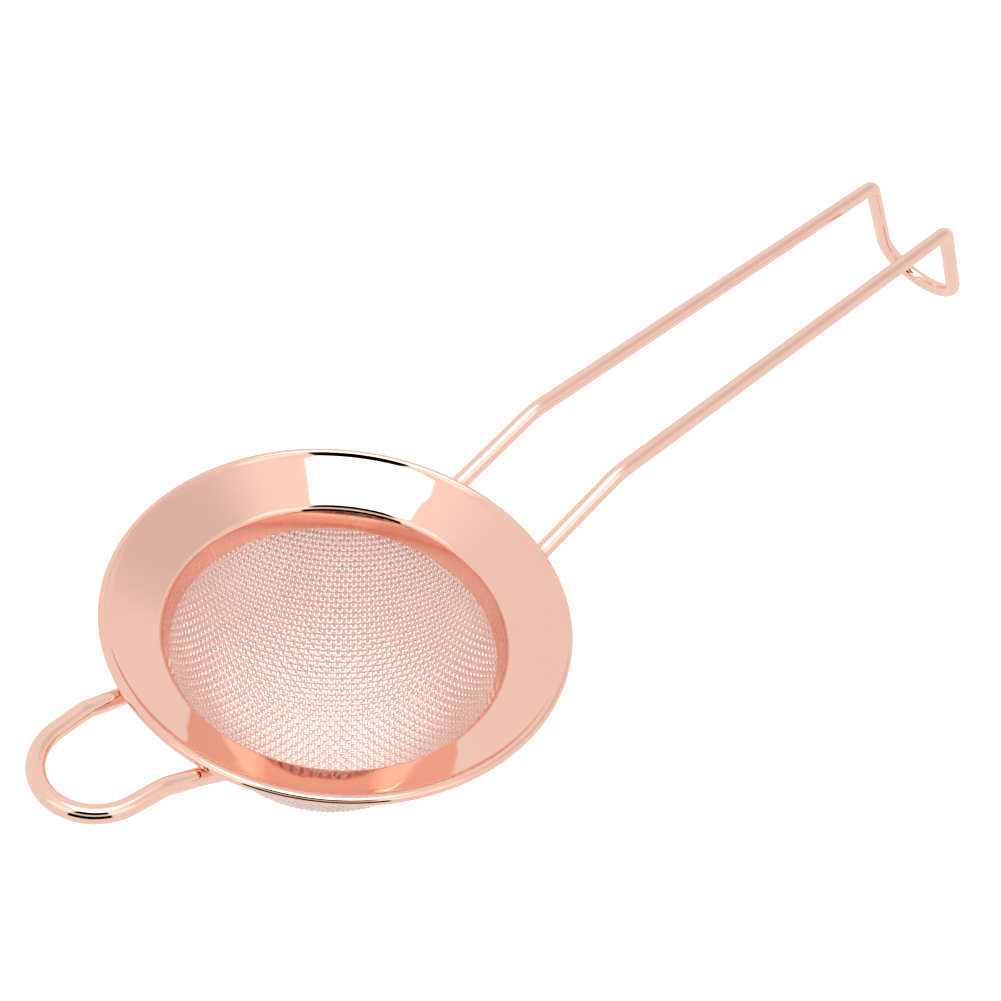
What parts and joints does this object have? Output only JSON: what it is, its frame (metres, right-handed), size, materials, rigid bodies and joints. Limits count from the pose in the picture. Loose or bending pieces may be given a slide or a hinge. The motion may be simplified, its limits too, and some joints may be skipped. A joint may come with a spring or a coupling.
{
  "type": "fine-mesh cocktail strainer",
  "caption": "Conical wire-cloth cocktail strainer with a dished rim flange, a bent wire handle with a hooked end and a wire rest loop.",
  "frame": {"origin": "on the basket's axis, at the plane of the rolled rim's top edge", "axes": "+X along the handle towards its hook, +Z out of the basket's mouth, Y across, with the XZ plane a plane of symmetry"},
  "size_m": [0.2745, 0.09, 0.0608],
  "materials": {
    "plated_sheet": "mirror-polished rose-gold plating on stainless steel sheet",
    "plated_wire_cloth": "satin rose-gold plating on woven stainless steel wire",
    "plated_wire": "polished rose-gold plating on round stainless steel wire",
    "plated_weld": "plated weld metal, smooth but uneven"
  },
  "bodies": {
    "root": {"rim_flange": "plated_sheet", "mesh_collar": "plated_sheet", "mesh_basket": "plated_wire_cloth", "handle_wire": "plated_wire", "rest_loop": "plated_wire", "handle_welds": "plated_weld", "loop_welds": "plated_weld"}
  },
  "joints": []
}
